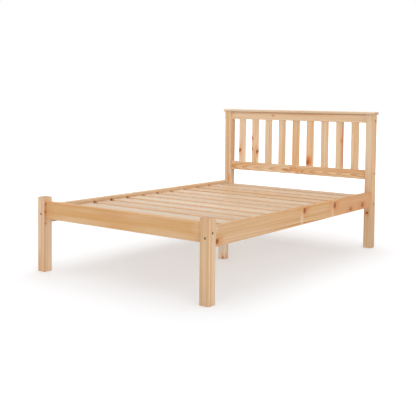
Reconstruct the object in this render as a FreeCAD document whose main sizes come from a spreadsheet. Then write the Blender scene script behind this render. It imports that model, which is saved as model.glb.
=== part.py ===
import FreeCAD, Part
import os
import re

import Sketcher
from FreeCAD import Rotation, Vector

# A slatted pine bed frame that bolts together, in millimetres.
# X runs across the bed, Y from the foot end to the headboard and Z up from the floor.
# The origin is on the floor, under the middle of the whole outline.

SIZES = {
    # posts
    "bed_width": 1300,  # over the outer faces of the posts
    "frame_length": 2035,  # over the posts, foot end to headboard
    "post_side": 60,
    "foot_post_height": 456,
    "headboard_height": 984,  # to the top of the cap
    "edge_radius": 3,  # eased edges of posts and rails
    "post_top_radius": 1.5,  # round the foot posts' tops
    # headboard
    "cap_thickness": 20,
    "cap_overhang": 9,
    "cap_edge_radius": 6,
    "head_rail_thickness": 27,
    "top_rail_height": 60,
    "low_rail_height": 67,
    "low_rail_bottom": 494,
    "cross_rail_height": 67,
    "head_slat_count": 9,
    "head_slat_width": 58,
    "head_slat_thickness": 18,
    "head_slat_edge_radius": 2.5,
    "tenon_length": 20,
    "tenon_shoulder": 4,  # from the slat's faces in to the tenon
    "tenon_fit": 0.3,  # play all round a tenon, and past its end
    # foot rail and side rails
    "foot_rail_thickness": 27,
    "foot_rail_height": 107,
    "foot_rail_bottom": 324,
    "foot_rail_recess": 17,  # from the posts' outer face
    "side_rail_thickness": 32,
    "side_rail_height": 108,
    "side_rail_bottom": 298,
    "side_rail_recess": 11,
    # deck of slats on ledgers
    "slat_count": 12,
    "slat_width": 100,
    "slat_thickness": 18,
    "slat_edge_radius": 3,
    "slat_drop": 23,  # slat tops below the side rails' tops
    "slat_end_gap": 14,  # slats' ends to the side rails
    "slat_foot_gap": 90,  # foot rail to the first slat
    "slat_head_gap": 4,  # last slat to the headboard's posts
    "ledger_width": 35,
    "ledger_height": 30,
    "ledger_end_play": 5,
    # centre rail with its leg and end blocks
    "centre_rail_thickness": 27,
    "centre_rail_height": 40,
    "centre_rail_end_play": 2,
    "end_lap_height": 20,  # cut from under the rail's ends
    "lap_play": 1,
    "block_width": 100,
    "block_depth": 27,
    "block_height": 39,
    "block_screw_inset": 20,
    "leg_side": 50,
    "leg_rebate": 16,  # how far the leg is cut back for the rail
    "leg_top_gap": 2,  # leg below the slats
    "leg_screw_offset": 9,  # from the middle of the lap, both ways
    # bolts, barrel nuts and dowels
    "bolt_diameter": 6,
    "bolt_hole_play": 1,
    "bolt_head_diameter": 14,
    "bolt_head_height": 3.5,
    "bolt_socket_width": 5,
    "bolt_socket_depth": 2.5,
    "bolt_overrun": 8,  # bolt past the nut's axis
    "counterbore_diameter": 15,
    "counterbore_depth": 4,
    "nut_diameter": 10,
    "nut_length": 18,
    "nut_setback": 35,  # rail's end to the nut's axis
    "dowel_diameter": 10,
    "dowel_depth": 18,  # into each of the two pieces
    "rail_dowel_offset": 32,  # above and below the bolt, foot and side rails
    "head_joint_offset": 13,  # bolt and dowel from the middle of a headboard rail
    "cap_dowel_count": 5,
    "cap_dowel_rise": 10,
    "cap_dowel_drop": 20,
    "fit_gap": 0.3,  # round fasteners, and past their ends
    # countersunk screws
    "screw_head_diameter": 9,
    "screw_diameter": 5,
    "screw_length": 50,
    "slat_screw_head_diameter": 8,
    "slat_screw_diameter": 4,
    "slat_screw_length": 35,
    "screw_tip_length": 6,
    "screw_sink": 0.5,  # head below the surface
    "ledger_screw_step": 2,  # slat pitches from one ledger screw to the next
}

doc = FreeCAD.newDocument("slatted_bed")
sheet = doc.addObject("Spreadsheet::Sheet", "Sizes")
for row, (name, number) in enumerate(SIZES.items(), start=1):
    sheet.set(f"A{row}", name)
    sheet.set(f"B{row}", str(number))
    sheet.setAlias(f"B{row}", name)
doc.recompute()

# Places worked out from the sizes, as expressions.
half_width = "(bed_width / 2)"
between_posts = "(bed_width - 2 * post_side)"
foot_face = "(-(frame_length + cap_overhang) / 2)"
head_face = f"({foot_face} + frame_length - post_side)"
head_back = f"({head_face} + post_side)"
post_middle = "(post_side / 2)"

side_rail_inside = "(bed_width / 2 - side_rail_recess - side_rail_thickness)"
side_rail_length = "(frame_length - 2 * post_side)"
side_rail_start = f"({foot_face} + post_side)"
side_bolt_inset = "(side_rail_recess + side_rail_thickness / 2)"
side_bolt_height = "(side_rail_bottom + side_rail_height / 2)"
foot_rail_front = f"({foot_face} + foot_rail_recess)"
foot_rail_back = f"({foot_rail_front} + foot_rail_thickness)"
foot_bolt_inset = "(foot_rail_recess + foot_rail_thickness / 2)"
foot_bolt_height = "(foot_rail_bottom + foot_rail_height / 2)"

deck_bottom = "(side_rail_bottom + side_rail_height - slat_drop - slat_thickness)"
post_top = "(headboard_height - cap_thickness)"
head_rail_front = f"({head_face} + (post_side - head_rail_thickness) / 2)"
top_rail_bottom = f"({post_top} - top_rail_height)"
low_rail_top = "(low_rail_bottom + low_rail_height)"
cross_rail_bottom = f"({deck_bottom} - cross_rail_height)"
head_slat_gap = f"(({between_posts} - head_slat_count * head_slat_width) / (head_slat_count + 1))"
head_slat_pitch = f"(head_slat_width + {head_slat_gap})"
mortise_depth = "(tenon_length + tenon_fit)"

slat_length = f"(2 * ({side_rail_inside} - slat_end_gap))"
slat_start = f"({foot_rail_back} + slat_foot_gap)"
slat_pitch = f"(({head_face} - slat_head_gap - slat_width - {slat_start}) / (slat_count - 1))"
slat_screw_inset = "((ledger_width - slat_end_gap) / 2)"
ledger_start = f"({side_rail_start} + ledger_end_play)"
ledger_length = f"({side_rail_length} - 2 * ledger_end_play)"
ledger_bottom = f"({deck_bottom} - ledger_height)"
ledger_screw_start = f"({slat_start} + (slat_width + {slat_pitch}) / 2)"
ledger_screw_pitch = f"(ledger_screw_step * {slat_pitch})"
LEDGER_SCREWS = int(sheet.slat_count) // int(sheet.ledger_screw_step)

centre_rail_start = f"({foot_rail_back} + centre_rail_end_play)"
centre_rail_length = f"({head_rail_front} - {foot_rail_back} - 2 * centre_rail_end_play)"
centre_rail_bottom = f"({deck_bottom} - centre_rail_height)"
end_lap_length = "(block_depth - centre_rail_end_play + lap_play)"
block_notch = "(centre_rail_thickness + 2 * fit_gap)"
block_bottom = f"({deck_bottom} - block_height)"
block_notch_depth = "(centre_rail_height - end_lap_height)"
leg_start = "(centre_rail_thickness / 2 - leg_rebate)"
leg_front = f"(({foot_face} + {head_back}) / 2 - leg_side / 2)"
leg_lap_middle = f"({centre_rail_bottom} + (centre_rail_height - leg_top_gap) / 2)"

bolt_length = "(post_side - counterbore_depth + nut_setback + bolt_overrun)"
bolt_hole = "(bolt_diameter + bolt_hole_play)"
bolt_hole_depth = "(nut_setback + bolt_overrun + bolt_hole_play)"
nut_hole = "(nut_diameter + 2 * fit_gap)"
dowel_hole = "(dowel_diameter + 2 * fit_gap)"
dowel_hole_depth = "(dowel_depth + fit_gap)"
cap_dowel_pitch = "((bed_width - post_side) / (cap_dowel_count - 1))"
screw_hole = "(screw_diameter + 2 * fit_gap)"
screw_mouth = "(screw_head_diameter + 2 * fit_gap + 2 * screw_sink)"
slat_screw_hole = "(slat_screw_diameter + 2 * fit_gap)"
slat_screw_mouth = "(slat_screw_head_diameter + 2 * fit_gap + 2 * screw_sink)"
COUNTERSINK_ANGLE = 90

# Each axis with the origin plane across it, and the way that plane's sketches face along the axis.
PLANES = {"X": ("YZ_Plane", 1), "Y": ("XZ_Plane", -1), "Z": ("XY_Plane", 1)}
AXES = {"X": Vector(1, 0, 0), "Y": Vector(0, 1, 0), "Z": Vector(0, 0, 1)}
ORIGIN_POINT = (-1, 1)
TOUCHING = 1e-6


def tie(thing, prop, expression):
    """Bind one property to an expression over the sizes' names."""
    def cell(word):
        return f"Sizes.{word[0]}" if word[0] in SIZES else word[0]
    thing.setExpression(prop, re.sub(r"[a-z_]+", cell, str(expression)))


def constrain(sketch, kind, *where, to):
    """Add one dimension to a sketch and bind it."""
    index = sketch.addConstraint(Sketcher.Constraint(kind, *where, 1.0))
    tie(sketch, f"Constraints[{index}]", to)


def closed_outline(sketch, corner_count):
    """Draw a closed polygon of lines that meet end to end; return the first line's index."""
    first = sketch.GeometryCount
    angles = [360 * corner / corner_count for corner in range(corner_count)]
    corners = [Rotation(AXES["Z"], angle).multVec(AXES["X"]) for angle in angles]
    for start, end in zip(corners, corners[1:] + corners[:1]):
        sketch.addGeometry(Part.LineSegment(start, end))
    for line in range(corner_count):
        after = first + (line + 1) % corner_count
        sketch.addConstraint(Sketcher.Constraint("Coincident", first + line, 2, after, 1))
    return first


def polygon(sketch, corners):
    """Draw a polygon whose corners are pairs of expressions."""
    first = closed_outline(sketch, len(corners))
    for line, (across, up) in enumerate(corners, start=first):
        constrain(sketch, "DistanceX", *ORIGIN_POINT, line, 1, to=across)
        constrain(sketch, "DistanceY", *ORIGIN_POINT, line, 1, to=up)


def rectangle(sketch, left, low, width, height):
    """Draw a rectangle from its lower left corner."""
    right = f"({left}) + ({width})"
    high = f"({low}) + ({height})"
    polygon(sketch, [(left, low), (right, low), (right, high), (left, high)])


def circle(sketch, across, up, diameter):
    """Draw a circle about a place given by two expressions."""
    index = sketch.addGeometry(Part.Circle(Vector(), AXES["Z"], 1))
    middle = (index, 3)  # a circle's third point is its centre
    constrain(sketch, "DistanceX", *ORIGIN_POINT, *middle, to=across)
    constrain(sketch, "DistanceY", *ORIGIN_POINT, *middle, to=up)
    constrain(sketch, "Diameter", index, to=diameter)


class Piece:
    """A body with an outline in sketches, placed by its own corner or axis."""

    def __init__(self, label):
        self.body = doc.addObject("PartDesign::Body", label)
        self.size = {}

    def place(self, across, along, up):
        for axis, where in zip("xyz", (across, along, up)):
            tie(self.body, f"Placement.Base.{axis}", where)
        return self

    def sketch(self, face):
        """A sketch on one face of the blank, such as -X or +Z."""
        axis = face[1]
        role, facing = PLANES[axis]
        plane = next(item for item in self.body.Origin.OriginFeatures if item.Role == role)
        sketch = self.body.newObject("Sketcher::SketchObject", "Outline")
        sketch.AttachmentSupport = [(plane, "")]
        sketch.MapMode = "FlatFace"
        if face[0] == "+":
            tie(sketch, "AttachmentOffset.Base.z", f"{facing} * ({self.size[axis]})")
        return sketch

    def extrude(self, kind, face, sketch, depth, into):
        """Pad or pocket a sketch on a face, into the blank or out of it."""
        facing = PLANES[face[1]][1]
        forward = (face[0] == "-") == into
        feature = self.body.newObject(f"PartDesign::{kind}", kind)
        feature.Profile = sketch
        tie(feature, "Length", depth)
        usual = facing if kind == "Pad" else -facing
        feature.Reversed = (usual > 0) != forward
        return feature

    def drill(self, face, spots, diameter, depth):
        """Plain holes of one depth, at places on a face."""
        sketch = self.sketch(face)
        for across, up in spots:
            circle(sketch, across, up, diameter)
        return self.extrude("Pocket", face, sketch, depth, into=True)

    def cut(self, face, left, low, width, height, depth):
        """A rectangular mortise, rebate or notch."""
        sketch = self.sketch(face)
        rectangle(sketch, left, low, width, height)
        return self.extrude("Pocket", face, sketch, depth, into=True)

    def through_hole(self, face, spots, diameter, mouth, counterbore=None):
        """Holes right through, with a counterbore or a countersink for the heads."""
        sketch = self.sketch(face)
        for across, up in spots:
            circle(sketch, across, up, diameter)
        hole = self.body.newObject("PartDesign::Hole", "Hole")
        hole.Profile = sketch
        doc.recompute()
        hole.ThreadType = "None"
        hole.DepthType = "ThroughAll"
        hole.HoleCutType = "Counterbore" if counterbore else "Countersink"
        tie(hole, "Diameter", diameter)
        tie(hole, "HoleCutDiameter", mouth)
        if counterbore:
            tie(hole, "HoleCutDepth", counterbore)
        else:
            hole.HoleCutCountersinkAngle = COUNTERSINK_ANGLE
        hole.Reversed = (PLANES[face[1]][1] > 0) == (face[0] == "-")
        return hole

    def repeat(self, feature, axis, pitch, count):
        """Repeat one feature along an axis."""
        line = next(item for item in self.body.Origin.OriginFeatures if item.Role == f"{axis}_Axis")
        pattern = self.body.newObject("PartDesign::LinearPattern", "LinearPattern")
        pattern.Originals = [feature]
        pattern.Direction = (line, [""])
        pattern.Mode = "Spacing"
        tie(pattern, "Offset", pitch)
        tie(pattern, "Occurrences", count)
        self.body.Tip = pattern


def long_edges(shape, along):
    """The names of a shape's edges that run along an axis."""
    names = []
    for number, edge in enumerate(shape.Edges, start=1):
        if abs(edge.tangentAt(edge.FirstParameter).dot(AXES[along])) > 0.5:
            names.append(f"Edge{number}")
    return names


def end_edges(shape, end):
    """The names of a shape's edges that lie in one end, such as +Z."""
    pick = max if end[0] == "+" else min
    level = pick(getattr(vertex, end[1]) for vertex in shape.Vertexes)
    names = []
    for number, edge in enumerate(shape.Edges, start=1):
        if all(abs(getattr(vertex, end[1]) - level) < TOUCHING for vertex in edge.Vertexes):
            names.append(f"Edge{number}")
    return names


class Board(Piece):
    """A planed piece of timber that grows from its own corner along X, Y and Z."""

    def __init__(self, label, size, along, radius="edge_radius", rounded_ends=()):
        super().__init__(label)
        self.size = dict(zip("XYZ", size))
        width, height = (self.size[axis] for axis in "XYZ" if axis != along)
        section = self.sketch(f"-{along}")
        rectangle(section, 0, 0, width, height)
        blank = self.extrude("Pad", f"-{along}", section, self.size[along], into=True)
        doc.recompute()
        ends = [edge for end in rounded_ends for edge in end_edges(blank.Shape, end)]
        self.ease(long_edges(blank.Shape, along) + ends, radius)

    def ease(self, edges, radius):
        """Round some edges of the body as it stands."""
        base = self.body.Tip
        fillet = self.body.newObject("PartDesign::Fillet", "Fillet")
        fillet.Base = (base, edges)
        tie(fillet, "Radius", radius)
        doc.recompute()

    def tenon(self, face, left, low, width, height, length):
        """A tongue that stands out of an end."""
        sketch = self.sketch(face)
        rectangle(sketch, left, low, width, height)
        return self.extrude("Pad", face, sketch, length, into=False)


def turned(label, corners):
    """A piece revolved about its own Z axis, from the corners of half its section."""
    piece = Piece(label)
    sketch = piece.sketch("-Y")
    polygon(sketch, corners)
    feature = piece.body.newObject("PartDesign::Revolution", "Revolution")
    feature.Profile = sketch
    feature.ReferenceAxis = (sketch, ["V_Axis"])
    return piece


class Group:
    """Copies of one fastener that share a node as separate solids."""

    def __init__(self, label, pattern):
        self.whole = doc.addObject("Part::Compound", label)
        self.pattern = pattern
        self.copies = []

    def add(self, across, along, up, turn):
        copy = doc.addObject("App::Link", f"{self.whole.Name}_copy")
        copy.LinkedObject = self.pattern.body
        copy.Placement.Rotation = turn
        for axis, where in zip("xyz", (across, along, up)):
            tie(copy, f"Placement.Base.{axis}", where)
        self.copies.append(copy)
        self.whole.Links = self.copies


def pointing(axis, way):
    """The turn that lays a fastener's own Z along an axis of the bed."""
    return Rotation(AXES["Z"], AXES[axis] * way)


# Posts. Each is bored from outside for the bolts, and from inside for the dowels.
SIDES = {"left": -1, "right": 1}
HEAD_JOINTS = {
    "top": (f"({top_rail_bottom} + top_rail_height / 2)", -1),
    "low": ("(low_rail_bottom + low_rail_height / 2)", 1),
    "cross": (f"({cross_rail_bottom} + cross_rail_height / 2)", -1),
}


def head_bolt_height(joint):
    middle, way = HEAD_JOINTS[joint]
    return f"({middle} + {way} * head_joint_offset)"


def head_dowel_height(joint):
    middle, way = HEAD_JOINTS[joint]
    return f"({middle} - {way} * head_joint_offset)"


def outer_face(side):
    return "+X" if side == "right" else "-X"


def inner_face(side):
    return "-X" if side == "right" else "+X"


def post_blank(end, side, height):
    """A post with the joint for its side rail."""
    label = f"{end}_post_{side}"
    post = Board(label, ("post_side", "post_side", height), "Z")
    if end == "foot":
        post.ease(end_edges(post.body.Shape, "+Z"), "post_top_radius")
    corner = "-bed_width / 2" if side == "left" else "bed_width / 2 - post_side"
    post.place(corner, foot_face if end == "foot" else head_face, 0)
    inset = side_bolt_inset if side == "left" else f"(post_side - {side_bolt_inset})"
    bolt_face, rail_face = ("-Y", "+Y") if end == "foot" else ("+Y", "-Y")
    dowel_spots = [(inset, f"{side_bolt_height} + {way} * rail_dowel_offset") for way in (-1, 1)]
    post.drill(rail_face, dowel_spots, dowel_hole, dowel_hole_depth)
    post.through_hole(bolt_face, [(inset, side_bolt_height)], bolt_hole,
                      "counterbore_diameter", "counterbore_depth")
    return post


posts = []
for side in SIDES:
    post = post_blank("foot", side, "foot_post_height")
    dowel_spots = [(foot_bolt_inset, f"{foot_bolt_height} + {way} * rail_dowel_offset") for way in (-1, 1)]
    post.drill(inner_face(side), dowel_spots, dowel_hole, dowel_hole_depth)
    post.through_hole(outer_face(side), [(foot_bolt_inset, foot_bolt_height)], bolt_hole,
                      "counterbore_diameter", "counterbore_depth")
    posts.append(post)

for side in SIDES:
    post = post_blank("head", side, post_top)
    dowel_spots = [(post_middle, head_dowel_height(joint)) for joint in HEAD_JOINTS]
    post.drill(inner_face(side), dowel_spots, dowel_hole, dowel_hole_depth)
    post.drill("+Z", [(post_middle, post_middle)], dowel_hole, "cap_dowel_drop + fit_gap")
    bolt_spots = [(post_middle, head_bolt_height(joint)) for joint in HEAD_JOINTS]
    post.through_hole(outer_face(side), bolt_spots, bolt_hole, "counterbore_diameter", "counterbore_depth")
    posts.append(post)


def bore_rail_ends(rail, along, length, bolt_up, dowel_ups, thickness, nut_face):
    """Bolt, dowel and barrel nut holes at both ends of a rail."""
    middle = f"({thickness} / 2)"
    for end in (f"-{along}", f"+{along}"):
        rail.drill(end, [(middle, bolt_up)], bolt_hole, bolt_hole_depth)
        rail.drill(end, [(middle, up) for up in dowel_ups], dowel_hole, dowel_hole_depth)
    nuts = [("nut_setback", bolt_up), (f"{length} - nut_setback", bolt_up)]
    rail.drill(nut_face, nuts, nut_hole, f"({thickness} + nut_length) / 2 + fit_gap")


# Headboard rails between the posts. The top and low ones are mortised for the slats.
head_rails = []
for joint, height, bottom in (
    ("top", "top_rail_height", top_rail_bottom),
    ("low", "low_rail_height", "low_rail_bottom"),
    ("cross", "cross_rail_height", cross_rail_bottom),
):
    rail = Board(f"headboard_{joint}_rail", (between_posts, "head_rail_thickness", height), "X")
    rail.place(f"-{between_posts} / 2", head_rail_front, bottom)
    bolt_up = f"({head_bolt_height(joint)} - {bottom})"
    dowel_up = f"({head_dowel_height(joint)} - {bottom})"
    bore_rail_ends(rail, "X", between_posts, bolt_up, [dowel_up], "head_rail_thickness", "+Y")
    if joint != "cross":
        mortise = rail.cut("-Z" if joint == "top" else "+Z",
                           f"{head_slat_gap} + tenon_shoulder - tenon_fit",
                           "(head_rail_thickness - head_slat_thickness) / 2 + tenon_shoulder - tenon_fit",
                           "head_slat_width - 2 * tenon_shoulder + 2 * tenon_fit",
                           "head_slat_thickness - 2 * tenon_shoulder + 2 * tenon_fit",
                           mortise_depth)
        rail.repeat(mortise, "X", head_slat_pitch, "head_slat_count")
    head_rails.append(rail)

top_rail, low_rail, cross_rail = head_rails
inner_cap_dowels = range(1, int(sheet.cap_dowel_count) - 1)
top_rail.drill("+Z", [(f"{number} * {cap_dowel_pitch} - post_side / 2", "head_rail_thickness / 2")
                      for number in inner_cap_dowels], dowel_hole, "cap_dowel_drop + fit_gap")

cap = Board("headboard_cap",
            ("bed_width + 2 * cap_overhang", "post_side + 2 * cap_overhang", "cap_thickness"),
            "X", "cap_edge_radius", rounded_ends=("-X", "+X"))
cap.place(f"-{half_width} - cap_overhang", f"{head_face} - cap_overhang", post_top)
cap_spots = [(f"cap_overhang + post_side / 2 + {number} * {cap_dowel_pitch}", "cap_overhang + post_side / 2")
             for number in range(int(sheet.cap_dowel_count))]
cap.drill("-Z", cap_spots, dowel_hole, "cap_dowel_rise + fit_gap")

# Upright slats, with a tenon in each rail.
head_slats = []
for number in range(int(sheet.head_slat_count)):
    slat = Board(f"headboard_slat_{number + 1}",
                 ("head_slat_width", "head_slat_thickness", f"({top_rail_bottom} - {low_rail_top})"),
                 "Z", "head_slat_edge_radius")
    slat.place(f"-{between_posts} / 2 + {head_slat_gap} + {number} * {head_slat_pitch}",
               f"{head_face} + (post_side - head_slat_thickness) / 2", low_rail_top)
    for end in ("-Z", "+Z"):
        slat.tenon(end, "tenon_shoulder", "tenon_shoulder", "head_slat_width - 2 * tenon_shoulder",
                   "head_slat_thickness - 2 * tenon_shoulder", "tenon_length")
    head_slats.append(slat)

# Foot rail, and the side rails with a ledger inside each.
foot_rail = Board("foot_rail", (between_posts, "foot_rail_thickness", "foot_rail_height"), "X")
foot_rail.place(f"-{between_posts} / 2", foot_rail_front, "foot_rail_bottom")
bore_rail_ends(foot_rail, "X", between_posts, "foot_rail_height / 2",
               [f"foot_rail_height / 2 + {way} * rail_dowel_offset" for way in (-1, 1)],
               "foot_rail_thickness", "+Y")

side_rails = []
ledgers = []
ledger_pilot = "screw_length + screw_sink - ledger_width + fit_gap"
for side in SIDES:
    rail = Board(f"side_rail_{side}", ("side_rail_thickness", side_rail_length, "side_rail_height"), "Y")
    rail_corner = side_rail_inside if side == "right" else f"-{side_rail_inside} - side_rail_thickness"
    rail.place(rail_corner, side_rail_start, "side_rail_bottom")
    bore_rail_ends(rail, "Y", side_rail_length, "side_rail_height / 2",
                   [f"side_rail_height / 2 + {way} * rail_dowel_offset" for way in (-1, 1)],
                   "side_rail_thickness", inner_face(side))
    pilot = rail.drill(inner_face(side), [(f"{ledger_screw_start} - {side_rail_start}",
                                           f"{ledger_bottom} + ledger_height / 2 - side_rail_bottom")],
                       screw_hole, ledger_pilot)
    rail.repeat(pilot, "Y", ledger_screw_pitch, LEDGER_SCREWS)
    side_rails.append(rail)

    ledger = Board(f"slat_ledger_{side}", ("ledger_width", ledger_length, "ledger_height"), "Y")
    ledger_corner = f"{side_rail_inside} - ledger_width" if side == "right" else f"-{side_rail_inside}"
    ledger.place(ledger_corner, ledger_start, ledger_bottom)
    screw_row = slat_screw_inset if side == "right" else f"(ledger_width - {slat_screw_inset})"
    pilot = ledger.drill("+Z", [(screw_row, f"{slat_start} + slat_width / 2 - {ledger_start}")],
                         slat_screw_hole, "slat_screw_length + screw_sink - slat_thickness + fit_gap")
    ledger.repeat(pilot, "Y", slat_pitch, "slat_count")
    hole = ledger.through_hole(inner_face(side), [(f"{ledger_screw_start} - {ledger_start}",
                                                   "ledger_height / 2")], screw_hole, screw_mouth)
    ledger.repeat(hole, "Y", ledger_screw_pitch, LEDGER_SCREWS)
    ledgers.append(ledger)

# Cross slats, screwed down on the ledgers.
slats = []
for number in range(int(sheet.slat_count)):
    slat = Board(f"bed_slat_{number + 1:02d}", (slat_length, "slat_width", "slat_thickness"),
                 "X", "slat_edge_radius")
    slat.place(f"-{slat_length} / 2", f"{slat_start} + {number} * {slat_pitch}", deck_bottom)
    ends = (slat_screw_inset, f"{slat_length} - {slat_screw_inset}")
    slat.through_hole("+Z", [(end, "slat_width / 2") for end in ends], slat_screw_hole, slat_screw_mouth)
    slats.append(slat)

# Centre rail, lapped at its ends into notched blocks and carried by a rebated leg.
centre_rail = Board("centre_rail", ("centre_rail_thickness", centre_rail_length, "centre_rail_height"), "Y")
centre_rail.place("-centre_rail_thickness / 2", centre_rail_start, centre_rail_bottom)
for start in (0, f"{centre_rail_length} - {end_lap_length}"):
    centre_rail.cut("-X", start, 0, end_lap_length, "end_lap_height", "centre_rail_thickness")
leg_spots = [(f"{leg_front} + leg_side / 2 + {way} * leg_screw_offset",
              f"{leg_lap_middle} + {way} * leg_screw_offset") for way in (-1, 1)]
centre_rail.drill("+X", [(f"{along} - {centre_rail_start}", f"{up} - {centre_rail_bottom}")
                         for along, up in leg_spots], screw_hole,
                  "screw_length + screw_sink - leg_side + leg_rebate + fit_gap")

leg = Board("centre_leg", ("leg_side", "leg_side", f"({deck_bottom} - leg_top_gap)"), "Z")
leg.place(leg_start, leg_front, 0)
leg.cut("-X", 0, centre_rail_bottom, "leg_side", "centre_rail_height", "leg_rebate")
leg.through_hole("+X", [(f"{along} - {leg_front}", up) for along, up in leg_spots], screw_hole, screw_mouth)

block_pilot = "screw_length + screw_sink - block_depth + fit_gap"
block_spots = [f"{way} * (block_width / 2 - block_screw_inset)" for way in (-1, 1)]
block_screw_height = f"({block_bottom} + block_height / 2)"
blocks = []
for end, start, screw_face, carrier, carrier_face, carrier_bottom in (
    ("foot", foot_rail_back, "+Y", foot_rail, "+Y", "foot_rail_bottom"),
    ("head", f"({head_rail_front} - block_depth)", "-Y", cross_rail, "-Y", cross_rail_bottom),
):
    block = Board(f"centre_rail_block_{end}", ("block_width", "block_depth", "block_height"), "X")
    block.place("-block_width / 2", start, block_bottom)
    block.cut("+Z", f"(block_width - {block_notch}) / 2", 0, block_notch, "block_depth", block_notch_depth)
    block.through_hole(screw_face, [(f"{across} + block_width / 2", "block_height / 2")
                                    for across in block_spots], screw_hole, screw_mouth)
    pilot_up = f"({block_screw_height} - {carrier_bottom})"
    carrier.drill(carrier_face, [(f"{across} + {between_posts} / 2", pilot_up) for across in block_spots],
                  screw_hole, block_pilot)
    blocks.append(block)

# Fasteners, each turned about its own axis: heads at the origin, points along Z.
bolt = turned("bolt_pattern", [
    (0, "-bolt_head_height"),
    ("bolt_head_diameter / 2", "-bolt_head_height"),
    ("bolt_head_diameter / 2", 0),
    ("bolt_diameter / 2", 0),
    ("bolt_diameter / 2", bolt_length),
    (0, bolt_length),
])
socket = bolt.sketch("-Z")
tie(socket, "AttachmentOffset.Base.z", "-bolt_head_height")
socket_radius = "(bolt_socket_width / sqrt(3))"
polygon(socket, [(f"{socket_radius} * cos({angle} deg)", f"{socket_radius} * sin({angle} deg)")
                 for angle in range(0, 360, 60)])
bolt.extrude("Pocket", "-Z", socket, "bolt_socket_depth", into=True)

nut = turned("nut_pattern", [
    (0, "-nut_length / 2"),
    ("nut_diameter / 2", "-nut_length / 2"),
    ("nut_diameter / 2", "nut_length / 2"),
    (0, "nut_length / 2"),
])
nut_bore = nut.sketch("-X")
circle(nut_bore, 0, 0, "bolt_diameter + 2 * fit_gap")
nut_cut = nut.extrude("Pocket", "-X", nut_bore, "2 * nut_diameter", into=True)
nut_cut.Midplane = True

dowel = turned("dowel_pattern", [
    (0, "-dowel_depth"),
    ("dowel_diameter / 2", "-dowel_depth"),
    ("dowel_diameter / 2", "dowel_depth"),
    (0, "dowel_depth"),
])
cap_dowel = turned("cap_dowel_pattern", [
    (0, "-cap_dowel_drop"),
    ("dowel_diameter / 2", "-cap_dowel_drop"),
    ("dowel_diameter / 2", "cap_dowel_rise"),
    (0, "cap_dowel_rise"),
])


def wood_screw(label, head, shank, length):
    """A countersunk screw with a pointed end."""
    return turned(label, [
        (0, 0),
        (f"{head} / 2", 0),
        (f"{shank} / 2", f"({head} - {shank}) / 2"),
        (f"{shank} / 2", f"{length} - screw_tip_length"),
        (0, length),
    ])


screw = wood_screw("screw_pattern", "screw_head_diameter", "screw_diameter", "screw_length")
slat_screw = wood_screw("slat_screw_pattern", "slat_screw_head_diameter", "slat_screw_diameter",
                        "slat_screw_length")

bolts = Group("frame_bolts", bolt)
nuts = Group("barrel_nuts", nut)
dowels = Group("frame_dowels", dowel)
cap_dowels = Group("cap_dowels", cap_dowel)
screws = Group("frame_screws", screw)
slat_screws = Group("slat_screws", slat_screw)
nut_across_side_rail = Rotation(AXES["Y"], AXES["Z"], AXES["X"], "ZXY")
nut_across_end_rail = Rotation(AXES["X"], AXES["Z"] * -1, AXES["Y"], "ZXY")

for side, way in SIDES.items():
    side_x = f"{way} * ({half_width} - {side_bolt_inset})"
    seat_x = f"{way} * ({half_width} - counterbore_depth)"
    joint_x = f"{way} * {between_posts} / 2"
    nut_x = f"{way} * ({between_posts} / 2 - nut_setback)"

    for seat, rail_end, run in (
        (f"{foot_face} + counterbore_depth", side_rail_start, 1),
        (f"{head_back} - counterbore_depth", head_face, -1),
    ):
        bolts.add(side_x, seat, side_bolt_height, pointing("Y", run))
        nuts.add(side_x, f"{rail_end} + {run} * nut_setback", side_bolt_height, nut_across_side_rail)
        for step in (-1, 1):
            dowels.add(side_x, rail_end, f"{side_bolt_height} + {step} * rail_dowel_offset", pointing("Y", 1))

    foot_y = f"{foot_face} + {foot_bolt_inset}"
    bolts.add(seat_x, foot_y, foot_bolt_height, pointing("X", -way))
    nuts.add(nut_x, foot_y, foot_bolt_height, nut_across_end_rail)
    for step in (-1, 1):
        dowels.add(joint_x, foot_y, f"{foot_bolt_height} + {step} * rail_dowel_offset", pointing("X", 1))

    head_y = f"{head_face} + {post_middle}"
    for joint in HEAD_JOINTS:
        bolts.add(seat_x, head_y, head_bolt_height(joint), pointing("X", -way))
        nuts.add(nut_x, head_y, head_bolt_height(joint), nut_across_end_rail)
        dowels.add(joint_x, head_y, head_dowel_height(joint), pointing("X", 1))

    ledger_screw_x = f"{way} * ({side_rail_inside} - ledger_width + screw_sink)"
    for number in range(LEDGER_SCREWS):
        screws.add(ledger_screw_x, f"{ledger_screw_start} + {number} * {ledger_screw_pitch}",
                   f"{ledger_bottom} + ledger_height / 2", pointing("X", way))
    for number in range(int(sheet.slat_count)):
        slat_screws.add(f"{way} * ({slat_length} / 2 - {slat_screw_inset})",
                        f"{slat_start} + {number} * {slat_pitch} + slat_width / 2",
                        f"{deck_bottom} + slat_thickness - screw_sink", pointing("Z", -1))

for number in range(int(sheet.cap_dowel_count)):
    cap_dowels.add(f"-{half_width} + post_side / 2 + {number} * {cap_dowel_pitch}",
                   f"{head_face} + {post_middle}", post_top, Rotation())
for across in block_spots:
    screws.add(across, f"{foot_rail_back} + block_depth - screw_sink", block_screw_height, pointing("Y", -1))
    screws.add(across, f"{head_rail_front} - block_depth + screw_sink", block_screw_height, pointing("Y", 1))
for along, up in leg_spots:
    screws.add(f"{leg_start} + leg_side - screw_sink", along, up, pointing("X", -1))

doc.recompute()

timber = [*posts, *head_rails, cap, *head_slats, foot_rail, *side_rails, *ledgers, *slats,
          centre_rail, leg, *blocks]
groups = [bolts, nuts, dowels, cap_dowels, screws, slat_screws]
nodes = [piece.body for piece in timber] + [group.whole for group in groups]

for item in doc.Objects:
    if "Invalid" in item.State or "Error" in item.State:
        raise RuntimeError(f"{item.Label} failed: {item.State}")
for node in nodes:
    if node.Shape.isNull() or not node.Shape.isValid():
        raise RuntimeError(f"{node.Label} has no valid shape")

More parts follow.
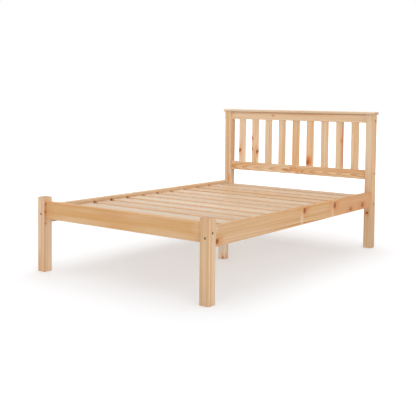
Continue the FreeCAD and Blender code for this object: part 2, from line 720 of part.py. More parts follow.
os.makedirs("parts", exist_ok=True)
for node in nodes:
    node.Shape.exportStep(f"parts/{node.Label}.step")
print(f"{len(nodes)} nodes, {sum(len(node.Shape.Solids) for node in nodes)} solids")
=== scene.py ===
import math
import random
from collections import namedtuple

import bmesh
import bpy
from mathutils import Euler, Matrix, Vector


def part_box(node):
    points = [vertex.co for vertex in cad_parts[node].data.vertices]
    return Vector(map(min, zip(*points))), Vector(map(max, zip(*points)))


# The slatted pine bed in its studio: planed, clear-lacquered pine with its growth rings and knots,
# plated bolts and screws, beech dowels, a white floor, soft light and the photograph's camera.

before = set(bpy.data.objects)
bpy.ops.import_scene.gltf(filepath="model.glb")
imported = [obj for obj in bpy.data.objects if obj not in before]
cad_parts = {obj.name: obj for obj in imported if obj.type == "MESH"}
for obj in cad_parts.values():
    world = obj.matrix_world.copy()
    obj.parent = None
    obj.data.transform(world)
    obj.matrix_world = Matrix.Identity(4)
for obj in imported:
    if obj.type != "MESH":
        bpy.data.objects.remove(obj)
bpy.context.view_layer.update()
MM = 1000


class Number:
    """A number that changes over a surface, as a socket that Python's operators work on."""

    def __init__(self, nodes, socket):
        self.nodes = nodes
        self.socket = socket

    def __add__(self, other):
        return self.nodes.math("ADD", self, other)

    def __sub__(self, other):
        return self.nodes.math("SUBTRACT", self, other)

    def __rsub__(self, other):
        return self.nodes.math("SUBTRACT", other, self)

    def __mul__(self, other):
        return self.nodes.math("MULTIPLY", self, other)

    def __truediv__(self, other):
        return self.nodes.math("DIVIDE", self, other)

    def __rtruediv__(self, other):
        return self.nodes.math("DIVIDE", other, self)

    def __pow__(self, other):
        return self.nodes.math("POWER", self, other)

    def __abs__(self):
        return self.nodes.math("ABSOLUTE", self)

    __radd__ = __add__
    __rmul__ = __mul__


class Nodes:
    """The nodes of one material or of the world."""

    def __init__(self, owner):
        owner.use_nodes = True
        self.owner = owner
        self.tree = owner.node_tree
        self.tree.nodes.clear()

    def add(self, kind, settings=None, sockets=None, output=0):
        """Add a node, set it up, then fill or link its sockets; return one of its outputs."""
        node = self.tree.nodes.new(f"ShaderNode{kind}")
        for name, setting in (settings or {}).items():
            setattr(node, name, setting)
        for name, value in (sockets or {}).items():
            source = value.socket if isinstance(value, Number) else value
            if isinstance(source, bpy.types.NodeSocket):
                self.tree.links.new(source, node.inputs[name])
            else:
                node.inputs[name].default_value = source
        return Number(self, node.outputs[output]) if node.outputs else node

    def math(self, operation, *terms):
        return self.add("Math", {"operation": operation}, dict(enumerate(terms)))

    def larger(self, first, second):
        return self.math("MAXIMUM", first, second)

    def step(self, value, low, high):
        """A soft step from 0 at low to 1 at high."""
        return self.add("MapRange", {"interpolation_type": "SMOOTHSTEP"},
                        {"Value": value, "From Min": low, "From Max": high})

    def vector(self, operation, *terms, output=0):
        return self.add("VectorMath", {"operation": operation}, dict(enumerate(terms)), output)

    def length(self, vector):
        return self.vector("LENGTH", vector, output="Value")

    def dot(self, first, second):
        return self.vector("DOT_PRODUCT", first, second, output="Value")

    def mix(self, share, first, second, blend="MIX"):
        """Blend two colours."""
        return self.add("Mix", {"data_type": "RGBA", "blend_type": blend},
                        {0: share, 6: first, 7: second}, output=2)

    def noise(self, place, scale, detail, rough=0.5):
        """Cloudy noise about 0, from about -0.5 to 0.5."""
        return self.add("TexNoise", {"noise_dimensions": "3D"}, {
            "Vector": place, "Scale": scale, "Detail": detail, "Roughness": rough}) - 0.5

    def drift(self, along):
        """Noise along a line, from about -0.5 to 0.5."""
        return self.add("TexNoise", {"noise_dimensions": "1D"}, {"W": along, "Scale": 1.0}) - 0.5

    def seen(self):
        """1 for what the camera sees, also in metal or through glass, 0 for what lights the bed."""
        rays = ("Is Camera Ray", "Is Glossy Ray", "Is Transmission Ray")
        camera, glossy, clear = (self.add("LightPath", output=ray) for ray in rays)
        return self.math("MINIMUM", camera + glossy + clear, 1.0)


def paint(node, material):
    """Give a CAD node one material all over."""
    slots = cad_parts[node].data.materials
    slots.clear()
    slots.append(material)


def shaded(colour, shade):
    """A colour made darker by a shade under 1, or lighter by one over 1."""
    return [channel * shade for channel in colour[:3]] + [1]


# Pine's colours. Those with WASH in the name multiply what is under them.
PALE = (0.755, 0.588, 0.415, 1)
GOLD = (0.65, 0.36, 0.136, 1)
# Pale sapwood, also laid as painted light on the upper front of the right head post.
SAPWOOD_AND_LIGHT = (0.80, 0.63, 0.46, 1)
# Bleached pine, also laid as painted light on the front of the shaded centre leg.
BLEACHED_AND_LIT = (0.91, 0.745, 0.61, 1)
LATE_WASH = (0.77, 0.59, 0.46, 1)
RESIN_WASH = (0.92, 0.58, 0.30, 1)
END_WASH = (0.80, 0.72, 0.76, 1)
DUCT_WASH = (0.70, 0.50, 0.34, 1)
# Painted light: a paler tint for slat edges that sit in shade in the gaps.
PAINTED_EDGE_LIGHT = (0.80, 0.53, 0.33, 1)
KNOT_RED = (0.42, 0.095, 0.022, 1)
KNOT_DARK = (0.17, 0.035, 0.011, 1)
# Painted shade: dark brown for shaded corners and recesses.
SHADE_BROWN = (0.24, 0.07, 0.025, 1)
RUST = (0.40, 0.135, 0.055, 1)
AMBER = (0.60, 0.30, 0.12, 1)
MAUVE = (0.47, 0.33, 0.27, 1)
UMBER = (0.42, 0.26, 0.15, 1)
ORANGE = (0.64, 0.26, 0.08, 1)

# The turn from the bed's axes to a board's own, for grain along each axis of the bed.
GRAIN_TURNS = {
    "X": Euler((0, 0, 0)),
    "Y": Euler((0, 0, -math.pi / 2)),
    "Z": Euler((0, math.pi / 2, 0)),
}

# What a board draws at random where nothing is said. Lengths inside a board are in millimetres.
WARMTHS = (0.2, 0.6)
PITH_BEHIND = (35, 85)
PITH_ASIDE = (-80, 80)
SLOPES = (-0.014, 0.014)
RING_WIDTHS = (3.4, 5.4)

# The grain's figure: its size along and across the grain, and the detail of its noise.
Figure = namedtuple("Figure", "along across detail rough", defaults=(0.5,))
BAND = Figure(900, 34, 2.0)
STREAK = Figure(620, 8, 3.0)
FIBRE = Figure(26, 0.7, 2.0, 0.6)
DUCT = Figure(11, 0.55, 0.0)
RIPPLE = Figure(160, 24, 3.0)
DUCT_EDGE = (0.27, 0.40)

# Growth rings: how the pith line wanders, and in which shares of a year late wood comes and ends.
WANDER_ASIDE = 520
WANDER_BESIDE = 460
WANDER_APART = 40
RIPPLE_HEIGHT = 2.6
LATE_RISE = (0.25, 0.9)
LATE_FALL = (0.93, 1.0)
LATE_LEAST = 0.45
LATE_SPREAD = 0.65

# How strongly the figure and the rings warm, darken, roughen and raise the wood.
TONE_SPAN = (-0.25, 1.25)
STREAK_WARMTH = 1.1
YEAR_WARMTH = 0.45
LATE_DARK = 0.75
STREAK_DARK = 0.8
FIBRE_DARK = 0.22
DUCT_DARK = 0.5
LACQUER_ROUGH = 0.40
LATE_ROUGH = 0.10
FIBRE_ROUGH = 0.12
LATE_RAISE = 0.25
FIBRE_RAISE = 0.6
DUCT_SINK = 0.5
RELIEF_STRENGTH = 0.22
RELIEF_DEPTH = 0.0006

# Knots: how deep they go, how they push the rings aside, and their heart and bark, in radii.
KNOT_DEPTH = 22
KNOT_FADE = 8
KNOT_PAST = 3
KNOT_FLOW = (0.50, 1.0, 1.0)
KNOT_HALO_FALL = -0.35
RING_PUSH = 1.1
KNOT_UNEVEN = 0.7
KNOT_UNEVEN_SCALE = 0.13
KNOT_RIM = (0.80, 1.12)
BARK_RIM = (0.55, 1.0)
BARK_LEAN = 0.45
BARK_DARK = 0.85
BARK_SINK = 0.8
HEART_RINGS = 17
HEART_RING_DARK = 0.3
HEART_RING_SPREAD = 0.25
HEART_GLOSS = 0.10
HALO_SHARE = 0.85

# Tinges (stains in the wood, and painted shade and light where noted), worn arrises, the edges
# lightened as painted light, and the sawn ends, as depths below the side or end.
TINGE_FADE = (0.25, 1.0)
TINGE_STREAK = 1.2
TINGE_LEVEL = 0.9
ARRIS_REACH = (0.8, 4.5)
WEAR_SCALE = 0.02
WEAR_SPREAD = 0.8
WEAR_LEVEL = 0.5
WEAR_SHARE = 0.25
EDGE_SKIN = (3.0, 1.0)
END_SKIN = (1.6, 0.3)
END_ROUGH = 0.2

# Places, reaches and directions are in metres in the bed's own frame, radii in millimetres.
# A knot's dark crescent lies on the side that lean points to; heart 0 is a knot grown over.
Knot = namedtuple("Knot", "place axis radius lean heart", defaults=((0, 0, 1), 1.0))
Tinge = namedtuple("Tinge", "place reach colour share")


class Board(Nodes):
    """Pine for one board, in its own axes: U along the grain, V and W across, in mm.

    The axes start at the board's middle. pine() sets its colour, roughness and height, and the
    steps after that work on them.
    """

    def __init__(self, node):
        super().__init__(bpy.data.materials.new(f"pine_{node}"))
        low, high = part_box(node)
        size = (high - low) * MM
        grain = "XYZ"[max(range(3), key=lambda axis: size[axis])]
        self.turn = GRAIN_TURNS[grain].to_matrix()
        self.middle = (low + high) / 2
        self.half = [abs(side) / 2 for side in self.turn @ size]
        self.luck = random.Random(node)
        self.start = self.luck.uniform(0, 100)
        self.own = self.add("Mapping", {}, {
            "Vector": self.add("TexCoord", output="Object"), "Scale": (MM, MM, MM),
            "Rotation": GRAIN_TURNS[grain], "Location": -(self.turn @ self.middle) * MM})
        self.u, self.v, self.w = (
            self.add("SeparateXYZ", {}, {0: self.own}, axis) for axis in range(3))
        self.colour = self.rough = self.height = None

    def away_from(self, place):
        """The way from a place of the bed's frame, in the board's axes."""
        spot = self.turn @ (Vector(place) - self.middle) * MM
        return self.vector("SUBTRACT", self.own, spot)

    def figure(self, kind):
        """Noise drawn out along the grain, with a part of its own for each board."""
        place = self.add("Mapping", {}, {
            "Vector": self.own, "Location": (self.start, self.start / 3, self.start / 7),
            "Scale": (1 / kind.along, 1 / kind.across, 1 / kind.across)})
        return self.noise(place, 1.0, kind.detail, kind.rough)

    def skin(self, across, half, depths):
        """1 at the two sides of the board and 0 inside it, between two depths below the sides."""
        return self.step(abs(across), half - depths[0], half - depths[1])

    def draw_pith(self):
        """A pith line behind one wide face, off to one side."""
        behind = self.luck.choice((-1, 1)) * self.luck.uniform(*PITH_BEHIND)
        aside = self.luck.uniform(*PITH_ASIDE)
        return (behind, aside) if self.half[1] <= self.half[2] else (aside, behind)

    def distance_from_pith(self, pith, slope, wander):
        """How far the wood is from the pith line, which slopes and wanders along the grain."""
        sway = self.drift(self.u / WANDER_ASIDE + self.start) * wander
        bow = self.drift(self.u / WANDER_BESIDE + self.start + WANDER_APART) * wander
        aside = self.v - pith[0] - self.u * slope - sway
        beside = self.w - pith[1] - bow
        return (aside * aside + beside * beside) ** 0.5 + self.figure(RIPPLE) * RIPPLE_HEIGHT

    def late_wood(self, years, contrast):
        """Where the late wood of the rings is, and a number for each year, from 0 to 1."""
        through = self.math("FRACT", years)
        year = self.add("TexWhiteNoise", {"noise_dimensions": "1D"},
                        {"W": self.math("FLOOR", years) + self.start})
        late = self.step(through, *LATE_RISE) * (1 - self.step(through, *LATE_FALL))
        return late * (year * LATE_SPREAD + LATE_LEAST) * contrast, year

    def knot_field(self, knot):
        """How far off a knot's core is, in radii, on which side of it, and the swell round it."""
        axis = (self.turn @ Vector(knot.axis)).normalized()
        lean = self.turn @ Vector(knot.lean).normalized()
        away = self.away_from(knot.place)
        past = self.step(abs(self.dot(away, axis)), KNOT_DEPTH, KNOT_DEPTH + KNOT_FADE)
        off = self.length(self.vector("CROSS_PRODUCT", away, axis)) / knot.radius + past * KNOT_PAST
        side = self.dot(away, lean) / knot.radius
        flow = self.vector("MULTIPLY", away, KNOT_FLOW)
        spread = self.length(self.vector("CROSS_PRODUCT", flow, axis)) / knot.radius
        return off, side, self.math("EXPONENT", spread * spread * KNOT_HALO_FALL)

    def lay(self, share, colour, blend="MIX"):
        """Lay a colour over what the board has so far."""
        self.colour = self.mix(share, self.colour, colour, blend)

    def lay_tinge(self, tinge, streak):
        """Tint a soft patch of the board, broken up by the grain."""
        reach = [abs(side) for side in self.turn @ Vector(tinge.reach) * MM]
        off = self.length(self.vector("DIVIDE", self.away_from(tinge.place), reach))
        patch = (1 - self.step(off, *TINGE_FADE)) * (streak * TINGE_STREAK + TINGE_LEVEL)
        self.lay(self.larger(patch, 0.0) * tinge.share, tinge.colour)

    def lay_knot(self, knot, field, uneven):
        """An amber halo, a red heart with its own rings, and a dark crescent of bark."""
        off, side, swell = field
        rim = off + uneven
        core = (1 - self.step(rim, *KNOT_RIM)) * knot.heart
        bark = self.step(rim + side * BARK_LEAN, *BARK_RIM) * core
        heart_ring = self.math("SINE", off * HEART_RINGS) * HEART_RING_SPREAD + HEART_RING_DARK
        self.lay(swell * HALO_SHARE, RESIN_WASH, "MULTIPLY")
        self.lay(core, self.mix(heart_ring, KNOT_RED, KNOT_DARK))
        self.lay(bark * BARK_DARK, KNOT_DARK)
        self.rough = self.rough - core * HEART_GLOSS
        self.height = self.height - bark * BARK_SINK

    def wear(self):
        """Paler worn arrises and greyer sawn ends."""
        arris = (self.half[1] - abs(self.v)) + (self.half[2] - abs(self.w))
        patchy = self.noise(self.own, WEAR_SCALE, 3.0) * WEAR_SPREAD + WEAR_LEVEL
        worn = (1 - self.step(arris, *ARRIS_REACH)) * patchy
        self.lay(self.larger(worn, 0.0) * WEAR_SHARE, SAPWOOD_AND_LIGHT)
        sawn = self.skin(self.u, self.half[0], END_SKIN)
        self.lay(sawn, END_WASH, "MULTIPLY")
        self.rough = self.rough + sawn * END_ROUGH

    def lacquer(self, gloss):
        """Finish the board with the relief of its grain under thin lacquer."""
        relief = self.add("Bump", {}, {
            "Strength": RELIEF_STRENGTH, "Distance": RELIEF_DEPTH, "Height": self.height})
        surface = self.add("BsdfPrincipled", {}, {
            "Base Color": self.colour, "Roughness": self.rough, "Normal": relief,
            "Specular IOR Level": gloss})
        self.add("OutputMaterial", {}, {"Surface": surface})


def pine(node, warmth=None, shade=1.0, pith=None, slope=None, ring=None, wander=7.0,
         contrast=1.0, broad=1.0, gloss=0.2, painted_edge_light=0.0, knots=(), tinges=()):
    """Solid wood with its rings about a pith beside the board: faces, edges and ends agree."""
    board = Board(node)
    drawn_warmth = board.luck.uniform(*WARMTHS)
    drawn_pith = board.draw_pith()
    drawn_slope = board.luck.uniform(*SLOPES)
    drawn_ring = board.luck.uniform(*RING_WIDTHS)
    warmth = drawn_warmth if warmth is None else warmth
    pith = drawn_pith if pith is None else pith
    slope = drawn_slope if slope is None else slope
    ring = drawn_ring if ring is None else ring

    # growth rings, which swell round the knots
    radius = board.distance_from_pith(pith, slope, wander)
    fields = [board.knot_field(knot) for knot in knots]
    for knot, (_, _, swell) in zip(knots, fields):
        radius = radius + swell * (knot.radius * RING_PUSH)
    late, year = board.late_wood(radius / ring, contrast)

    # broad bands, streaks, fine fibres and resin ducts along the grain
    band = board.figure(BAND)
    streak = board.figure(STREAK)
    fibre = board.figure(FIBRE)
    duct = board.step(board.figure(DUCT), *DUCT_EDGE)
    tone = (band * broad + streak * (STREAK_WARMTH * contrast)
            + (year - 0.5) * (YEAR_WARMTH * contrast) + warmth)
    dark = late * LATE_DARK + board.larger(streak, 0.0) * STREAK_DARK + fibre * FIBRE_DARK
    board.colour = board.mix(
        board.step(tone, *TONE_SPAN), shaded(PALE, shade), shaded(GOLD, shade))
    board.lay(board.larger(dark, 0.0), LATE_WASH, "MULTIPLY")
    board.lay(duct * DUCT_DARK, DUCT_WASH, "MULTIPLY")
    board.rough = LACQUER_ROUGH + late * LATE_ROUGH + fibre * FIBRE_ROUGH
    board.height = late * LATE_RAISE + fibre * FIBRE_RAISE - duct * DUCT_SINK

    for tinge in tinges:
        board.lay_tinge(tinge, streak)
    # Painted light: the narrow edges lightened against the shade in the gaps between slats.
    if painted_edge_light:
        board.lay(board.skin(board.v, board.half[1], EDGE_SKIN) * painted_edge_light, PAINTED_EDGE_LIGHT)
    if knots:
        uneven = board.noise(board.own, KNOT_UNEVEN_SCALE, 2.0) * KNOT_UNEVEN
        for knot, field in zip(knots, fields):
            board.lay_knot(knot, field, uneven)
    board.wear()
    board.lacquer(gloss)
    paint(node, board.owner)


# Faces of the boards on which knots, stains and painted shade lie, across the bed (X) or along it
# (Y).
SIDE_RAIL_FACE = 0.639
FAR_RAIL_FACE = -0.607
POST_OUTSIDE = 0.650
FAR_POST_INSIDE = -0.590
LEG_SIDE = 0.0475
FOOT_RAIL_FACE = -1.005
FOOT_POST_FRONT = -1.022
HEAD_POST_FRONT = 0.953
HEAD_RAIL_FACE = 0.9695
HEAD_SLAT_FACE = 0.974
LEG_FRONT = -0.0295

# Ways that knots run into a board.
FACE = (0, 1, 0)
FLANK = (1, 0.1, 0.1)
FLANK_BACK = (1, -0.4, 0.1)

# Painted shade: dark marks on the far side rail where the gaps of the deck meet it, and round the
# recessed bolts of the headboard.
FIRST_GAP_SHADE = -0.58218
SLAT_PITCH = 0.15791
GAP_SHADE_SHARES = (0.9, 1.0, 0.9, 0.5, 0.9, 0.5, 0.4, 0.6, 0.8)
HEAD_BOLTS = (0.3185, 0.5405, 0.921)
gap_shade_marks = [
    Tinge((FAR_RAIL_FACE, FIRST_GAP_SHADE + SLAT_PITCH * gap, 0.380), (0.012, 0.020, 0.016),
          SHADE_BROWN, share)
    for gap, share in enumerate(GAP_SHADE_SHARES)
]
bolt_shade_marks = [
    Tinge((POST_OUTSIDE, 0.983, height), (0.016, 0.012, 0.012), SHADE_BROWN, 1.0)
    for height in HEAD_BOLTS
]

# The boards that face the camera, with the knots, streaks and tones that the photograph shows.
pine(
    "foot_rail", warmth=0.95, pith=(70, 105), slope=0.010, ring=4.6, contrast=0.45,
    tinges=[
        Tinge((-0.56, FOOT_RAIL_FACE, 0.385), (0.05, 0.02, 0.070), AMBER, 0.35),
        Tinge((-0.42, FOOT_RAIL_FACE, 0.415), (0.22, 0.02, 0.030), AMBER, 0.30),
        Tinge((-0.06, FOOT_RAIL_FACE, 0.414), (0.20, 0.02, 0.045), AMBER, 0.70),
        Tinge((-0.32, FOOT_RAIL_FACE, 0.336), (0.36, 0.02, 0.033), SAPWOOD_AND_LIGHT, 0.30),
        Tinge((0.32, FOOT_RAIL_FACE, 0.344), (0.36, 0.02, 0.038), SAPWOOD_AND_LIGHT, 0.26),
        Tinge((0.30, FOOT_RAIL_FACE, 0.405), (0.20, 0.02, 0.030), AMBER, 0.25),
        Tinge((0.57, FOOT_RAIL_FACE, 0.395), (0.06, 0.02, 0.060), SAPWOOD_AND_LIGHT, 0.25),
    ],
)
pine(
    "side_rail_right", warmth=0.87, shade=0.96, pith=(58, -84), slope=0.016, ring=9.5,
    wander=5.0, contrast=1.05, broad=0.3,
    knots=[
        Knot((SIDE_RAIL_FACE, -0.937, 0.325), FLANK, 13),
        Knot((SIDE_RAIL_FACE, -0.014, 0.383), (0.9, 0.1, 0.6), 15, (0, 1, -0.4)),
        Knot((SIDE_RAIL_FACE, 0.391, 0.370), (0.9, 0.1, 0.5), 17, (0, 1, 0.2)),
        Knot((SIDE_RAIL_FACE, 0.633, 0.321), FLANK, 13, (0, 1, 0)),
        Knot((SIDE_RAIL_FACE, 0.820, 0.331), (1, -0.1, 0.2), 18, (0, 0.3, -1)),
    ],
    tinges=[
        Tinge((SIDE_RAIL_FACE, -0.800, 0.312), (0.02, 0.75, 0.050), SAPWOOD_AND_LIGHT, 0.34),
        Tinge((SIDE_RAIL_FACE, -0.600, 0.380), (0.02, 0.80, 0.050), SAPWOOD_AND_LIGHT, 0.12),
        Tinge((SIDE_RAIL_FACE, -0.910, 0.330), (0.02, 0.05, 0.040), AMBER, 0.35),
        Tinge((SIDE_RAIL_FACE, -0.960, 0.400), (0.02, 0.05, 0.045), SAPWOOD_AND_LIGHT, 0.60),
        Tinge((SIDE_RAIL_FACE, 0.650, 0.325), (0.02, 0.50, 0.110), AMBER, 0.90),
        Tinge((SIDE_RAIL_FACE, 0.760, 0.355), (0.02, 0.32, 0.120), UMBER, 0.20),
        Tinge((SIDE_RAIL_FACE, -0.045, 0.350), (0.02, 0.03, 0.100), SAPWOOD_AND_LIGHT, 0.45),
        Tinge((SIDE_RAIL_FACE, 0.362, 0.350), (0.02, 0.03, 0.100), SAPWOOD_AND_LIGHT, 0.40),
        Tinge((SIDE_RAIL_FACE, 0.600, 0.325), (0.02, 0.04, 0.030), AMBER, 0.40),
        Tinge((SIDE_RAIL_FACE, 0.700, 0.352), (0.02, 0.36, 0.120), ORANGE, 0.22),
        Tinge((SIDE_RAIL_FACE, 0.930, 0.360), (0.02, 0.07, 0.080), AMBER, 0.60),
    ],
)
pine("side_rail_left", warmth=0.38, shade=0.98, tinges=gap_shade_marks)
pine(
    "foot_post_right", warmth=0.44, shade=0.965, pith=(75, 70), ring=5.5, contrast=0.7,
    tinges=[
        Tinge((0.648, FOOT_POST_FRONT, 0.20), (0.007, 0.006, 0.60), AMBER, 0.60),
        Tinge((0.592, FOOT_POST_FRONT, 0.20), (0.005, 0.008, 0.60), AMBER, 0.40),
        Tinge((POST_OUTSIDE, -1.015, 0.22), (0.006, 0.006, 0.60), BLEACHED_AND_LIT, 0.50),
        Tinge((POST_OUTSIDE, -0.980, 0.22), (0.006, 0.022, 0.60), SAPWOOD_AND_LIGHT, 0.45),
        Tinge((POST_OUTSIDE, -1.006, 0.22), (0.006, 0.004, 0.60), AMBER, 0.15),
        Tinge((0.606, FOOT_POST_FRONT, 0.43), (0.040, 0.008, 0.14), AMBER, 0.40),
        Tinge((POST_OUTSIDE, -0.985, 0.43), (0.008, 0.035, 0.14), AMBER, 0.30),
    ],
)
pine(
    "foot_post_left", warmth=0.43, pith=(-75, 72), ring=5.0, contrast=0.85,
    knots=[
        Knot((FAR_POST_INSIDE, -1.013, 0.414), FLANK_BACK, 5),
        Knot((FAR_POST_INSIDE, -1.014, 0.368), FLANK_BACK, 5),
        Knot((FAR_POST_INSIDE, -1.012, 0.296), FLANK_BACK, 4),
    ],
    tinges=[
        Tinge((FAR_POST_INSIDE, -0.982, 0.20), (0.010, 0.026, 0.50), SAPWOOD_AND_LIGHT, 0.35),
        Tinge((-0.618, FOOT_POST_FRONT, 0.24), (0.034, 0.008, 0.60), BLEACHED_AND_LIT, 0.26),
        Tinge((FAR_POST_INSIDE, -1.012, 0.37), (0.010, 0.014, 0.10), RUST, 0.50),
        Tinge((FAR_POST_INSIDE, -1.021, 0.20), (0.007, 0.008, 0.50), RUST, 0.55),
        Tinge((-0.615, FOOT_POST_FRONT, 0.24), (0.010, 0.008, 0.50), RUST, 0.28),
        Tinge((-0.631, FOOT_POST_FRONT, 0.04), (0.007, 0.008, 0.11), RUST, 0.70),
    ],
)
pine(
    "head_post_right", warmth=0.42, shade=0.94, pith=(60, -75), ring=5.2,
    knots=[Knot((0.615, HEAD_POST_FRONT, 0.254), (0.1, 1, 0.1), 9)],
    tinges=[
        # Painted light: the upper front is paler, as if lit more than the lower part. The outer
        # face turns darker and warmer towards the bottom, and the bolt marks are painted shade.
        Tinge((0.615, HEAD_POST_FRONT, 0.75), (0.06, 0.010, 0.35), SAPWOOD_AND_LIGHT, 0.65),
        Tinge((POST_OUTSIDE, 0.985, 0.15), (0.008, 0.06, 0.35), AMBER, 0.55),
        Tinge((POST_OUTSIDE, 0.985, 0.12), (0.008, 0.08, 0.40), UMBER, 0.38),
        Tinge((POST_OUTSIDE, 0.985, 0.70), (0.008, 0.06, 0.40), AMBER, 0.30),
        *bolt_shade_marks,
    ],
)
pine(
    "head_post_left", warmth=0.34, shade=1.05, pith=(66, 70), ring=4.6,
    tinges=[
        Tinge((-0.616, HEAD_POST_FRONT, 0.700), (0.014, 0.010, 0.450), AMBER, 0.50),
        Tinge((-0.604, HEAD_POST_FRONT, 0.425), (0.018, 0.012, 0.055), ORANGE, 0.85),
        # Painted shade: the inside face, shaded by the slats and rails, is darkened.
        Tinge((FAR_POST_INSIDE, 0.980, 0.720), (0.006, 0.060, 0.400), AMBER, 0.50),
        Tinge((FAR_POST_INSIDE, 0.980, 0.720), (0.006, 0.060, 0.450), UMBER, 0.38),
        Tinge((FAR_POST_INSIDE, 0.985, 0.460), (0.006, 0.040, 0.080), MAUVE, 0.60),
    ],
)
pine("headboard_cap", warmth=0.08, shade=0.93, contrast=0.7)
pine(
    "headboard_top_rail", warmth=0.06, shade=1.10, pith=(-58, 60), ring=4.2,
    knots=[Knot((-0.202, HEAD_RAIL_FACE, 0.941), FACE, 5, heart=0.6)],
)
pine(
    "headboard_low_rail", warmth=0.38, shade=1.06, pith=(28, -6), slope=-0.05, ring=6.0,
    wander=5.0, contrast=1.55, broad=0.5,
    knots=[Knot((0.000, HEAD_RAIL_FACE, 0.532), FACE, 13, heart=0.0)],
    tinges=[
        Tinge((-0.034, HEAD_RAIL_FACE, 0.530), (0.014, 0.02, 0.040), RUST, 0.38),
        Tinge((0.400, HEAD_RAIL_FACE, 0.535), (0.200, 0.02, 0.012), ORANGE, 0.40),
    ],
)
pine(
    "headboard_slat_1", warmth=-0.2, shade=1.08,
    knots=[Knot((-0.515, HEAD_SLAT_FACE, 0.654), (0.2, 1, 0.9), 12)],
)
pine(
    "headboard_slat_2", warmth=0.06, shade=1.06,
    knots=[
        Knot((-0.394, HEAD_SLAT_FACE, 0.755), FACE, 8),
        Knot((-0.395, HEAD_SLAT_FACE, 0.669), FACE, 7),
        Knot((-0.348, HEAD_SLAT_FACE, 0.648), (0.2, 1, 0.7), 10),
    ],
)
pine("headboard_slat_3", warmth=0.06, shade=1.05)
pine("headboard_slat_4", warmth=0.06, shade=1.05)
pine("headboard_slat_5", warmth=0.74, shade=1.06)
pine(
    "headboard_slat_6", warmth=0.40, shade=1.1,
    knots=[Knot((0.110, HEAD_SLAT_FACE, 0.590), (0.3, 1, 0.3), 15, (-1, 0, -0.6), 0.65)],
    tinges=[Tinge((0.118, HEAD_SLAT_FACE, 0.605), (0.036, 0.02, 0.048), ORANGE, 0.95)],
)
pine("headboard_slat_7", warmth=0.13, shade=1.06)
pine(
    "headboard_slat_8", warmth=0.35, shade=1.04,
    knots=[Knot((0.391, HEAD_SLAT_FACE, 0.765), FACE, 6, heart=0.15)],
    tinges=[Tinge((0.3995, 0.978, 0.75), (0.012, 0.030, 0.34), KNOT_RED, 0.75)],
)
pine("headboard_slat_9", warmth=0.25, shade=1.07)
# Painted light: the leg stands in shade under the deck, and its front and side are painted paler.
pine(
    "centre_leg", warmth=0.0, shade=1.08,
    knots=[Knot((0.037, LEG_FRONT, 0.012), FACE, 9, (0, 0, -1), 0.45)],
    tinges=[
        Tinge((0.022, LEG_FRONT, 0.16), (0.10, 0.03, 0.6), BLEACHED_AND_LIT, 1.0),
        Tinge((LEG_SIDE, -0.005, 0.16), (0.01, 0.03, 0.6), BLEACHED_AND_LIT, 0.10),
    ],
)

# The bed slats from the foot end to the head end, each as its warmth and shade.
# Their edges are lightened as painted light against the shade in the gaps, less so near the
# headboard.
BED_SLATS = (
    (0.08, 0.83), (0.00, 0.83), (0.03, 0.83), (-0.14, 0.86), (-0.30, 0.90), (0.10, 0.83),
    (0.11, 0.83), (-0.22, 0.87), (0.57, 0.90), (0.46, 0.905), (0.30, 0.905), (0.26, 0.905),
)
FIRST_FAR_SLAT = 9
NEAR_EDGE_LIGHT = 0.9
FAR_EDGE_LIGHT = 0.32
SLAT_GLOSS = 0.5
for number, (warmth, shade) in enumerate(BED_SLATS, 1):
    pine(f"bed_slat_{number:02d}", warmth=warmth, shade=shade, gloss=SLAT_GLOSS,
         painted_edge_light=NEAR_EDGE_LIGHT if number < FIRST_FAR_SLAT else FAR_EDGE_LIGHT)

# The boards that hardly show, with all that they draw at random.
for node in sorted(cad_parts):
    if node.startswith(("headboard_cross_rail", "slat_ledger", "centre_rail")):
        pine(node)

# Plated steel and beech: colours, and how fine their clouds, scratches and flecks are.
BRONZE = (0.27, 0.20, 0.09, 1)
NUT_ZINC = (0.42, 0.42, 0.40, 1)
SCREW_ZINC = (0.40, 0.37, 0.27, 1)
BEECH_PALE = (0.66, 0.47, 0.31, 1)
BEECH_DARK = (0.48, 0.31, 0.19, 1)
PLATE_CLOUDS = 180
PLATE_SCRATCHES = (900, 900, 90)
CLOUD_SHADE = 0.6
BEECH_FLECKS = 700
BEECH_CLOUDS = 60


def plated(name, colour, dull):
    """Plated steel, a little clouded and scratched."""
    metal = Nodes(bpy.data.materials.new(name))
    place = metal.add("TexCoord", output="Object")
    cloud = metal.noise(place, PLATE_CLOUDS, 3.0)
    brushed = metal.add("Mapping", {}, {"Vector": place, "Scale": PLATE_SCRATCHES})
    scratch = metal.noise(brushed, 1.0, 3.0)
    tint = metal.mix(cloud * 0.8 + 0.5, colour, shaded(colour, CLOUD_SHADE))
    bump = metal.add("Bump", {}, {"Strength": 0.15, "Distance": 0.0002, "Height": scratch})
    plate = metal.add("BsdfPrincipled", {}, {
        "Base Color": tint, "Roughness": dull + cloud * 0.2 + scratch * 0.15, "Normal": bump,
        "Metallic": 1.0})
    metal.add("OutputMaterial", {}, {"Surface": plate})
    return metal.owner


def beech(name):
    """Turned dowels, with fine flecks."""
    wood = Nodes(bpy.data.materials.new(name))
    place = wood.add("TexCoord", output="Object")
    fleck = wood.noise(place, BEECH_FLECKS, 3.0)
    cloud = wood.noise(place, BEECH_CLOUDS, 2.0)
    tint = wood.mix(fleck + cloud + 0.5, BEECH_PALE, BEECH_DARK)
    bump = wood.add("Bump", {}, {"Strength": 0.2, "Distance": 0.0003, "Height": fleck})
    body = wood.add("BsdfPrincipled", {}, {
        "Base Color": tint, "Roughness": 0.6 + fleck * 0.2, "Normal": bump})
    wood.add("OutputMaterial", {}, {"Surface": body})
    return wood.owner


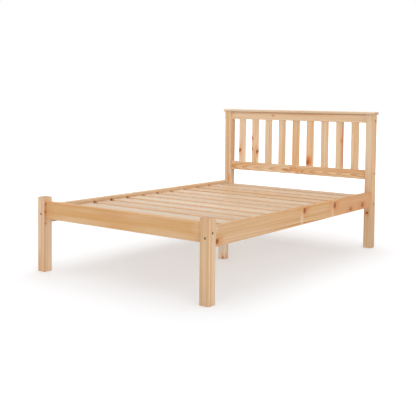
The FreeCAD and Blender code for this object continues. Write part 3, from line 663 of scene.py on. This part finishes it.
paint("frame_bolts", plated("bronzed_bolts", BRONZE, 0.42))
paint("barrel_nuts", plated("zinc_nuts", NUT_ZINC, 0.38))
screw_zinc = plated("zinc_screws", SCREW_ZINC, 0.36)
paint("frame_screws", screw_zinc)
paint("slat_screws", screw_zinc)
dowel_beech = beech("beech_dowels")
paint("frame_dowels", dowel_beech)
paint("cap_dowels", dowel_beech)

# White paper floor. Its own glow, for the camera alone, makes it white where nothing shades it.
FLOOR_REACH = 30
FLOOR_DROP = 0.0005
PAPER = (0.745, 0.755, 0.77, 1)
NEAR_GLOW = 0.285
FAR_GLOW = 1.0
GLOW_SPAN = (1.8, 6.0)
scene = bpy.context.scene
floor_mesh = bpy.data.meshes.new("studio_floor")
shape = bmesh.new()
bmesh.ops.create_grid(shape, x_segments=1, y_segments=1, size=FLOOR_REACH,
                      matrix=Matrix.Translation((0, 0, -FLOOR_DROP)))
shape.to_mesh(floor_mesh)
shape.free()
floor = bpy.data.objects.new("studio_floor", floor_mesh)
scene.collection.objects.link(floor)

paper = Nodes(bpy.data.materials.new("white_paper"))
distance = paper.length(paper.add("TexCoord", output="Object"))
glow_there = paper.step(distance, *GLOW_SPAN) * (FAR_GLOW - NEAR_GLOW) + NEAR_GLOW
matte = paper.add("BsdfDiffuse", {}, {"Color": PAPER})
glow = paper.add("Emission", {}, {"Strength": paper.seen() * glow_there})
paper.add("OutputMaterial", {}, {"Surface": paper.add("AddShader", {}, {0: matte, 1: glow})})
floor_mesh.materials.append(paper.owner)

# Soft dome, white to the camera, with a broad bright wall in front on the right.
DOME_TOP = 0.65
DOME_RIM = 0.42
DOME_RISE = (-0.1, 1.0)
WALL = 2.97
WALL_SIDE = Vector((0.73, -0.67, 0.10)).normalized()
WALL_SPREAD = (0.5, 0.95)
WALL_TOP = (0.2, 0.7)
scene.world = bpy.data.worlds.new("studio")
dome = Nodes(scene.world)
outward = dome.add("TexCoord", output="Generated")
rise = dome.add("SeparateXYZ", {}, {0: outward}, "Z")
facing = dome.dot(outward, WALL_SIDE)
wall = dome.step(facing, *WALL_SPREAD) * (1 - dome.step(rise, *WALL_TOP))
lit = dome.step(rise, *DOME_RISE) * (DOME_TOP - DOME_RIM) + DOME_RIM + wall * WALL
white = dome.seen()
sky = dome.add("Background", {}, {"Color": (1, 1, 1, 1), "Strength": white + (1 - white) * lit})
dome.add("OutputWorld", {}, {"Surface": sky})

# One wide lamp overhead.
LAMP_PLACE = Vector((-0.9, 1.0, 4.7))
LAMP_AIM = Vector((0, 0, 0.3))
LAMP_WIDTH = 5.2
LAMP_POWER = 118
lamp = bpy.data.lights.new("top_softbox", "AREA")
lamp.shape = "SQUARE"
lamp.size = LAMP_WIDTH
lamp.energy = LAMP_POWER
softbox = bpy.data.objects.new("top_softbox", lamp)
towards = (LAMP_AIM - LAMP_PLACE).to_track_quat("-Z", "Y")
softbox.matrix_world = Matrix.Translation(LAMP_PLACE) @ towards.to_matrix().to_4x4()
scene.collection.objects.link(softbox)

# The photograph's camera, in a frame of 416 by 416.
PICTURE = 416
SENSOR = 36
FOCAL_PIXELS = 749.5
CENTRE_LIFT = 70
CAMERA_PLACE = Vector((2.8852, -4.0692, 1.0607))
YAW = math.radians(36.435)
PITCH = math.radians(2.943)
ROLL = math.radians(0.661)
ahead = Vector((
    -math.sin(YAW) * math.cos(PITCH), math.cos(YAW) * math.cos(PITCH), -math.sin(PITCH)))
right = Vector((math.cos(YAW), math.sin(YAW), 0))
upright = right.cross(ahead)
rolled_right = right * math.cos(ROLL) + upright * math.sin(ROLL)
rolled_up = upright * math.cos(ROLL) - right * math.sin(ROLL)
lens = bpy.data.cameras.new("photo_camera")
lens.sensor_width = SENSOR
lens.lens = FOCAL_PIXELS / PICTURE * SENSOR
lens.shift_y = -CENTRE_LIFT / PICTURE
camera = bpy.data.objects.new("photo_camera", lens)
axes = Matrix((rolled_right, rolled_up, -ahead)).transposed()
camera.matrix_world = Matrix.Translation(CAMERA_PLACE) @ axes.to_4x4()
scene.collection.objects.link(camera)
scene.camera = camera
scene.view_settings.view_transform = "Standard"
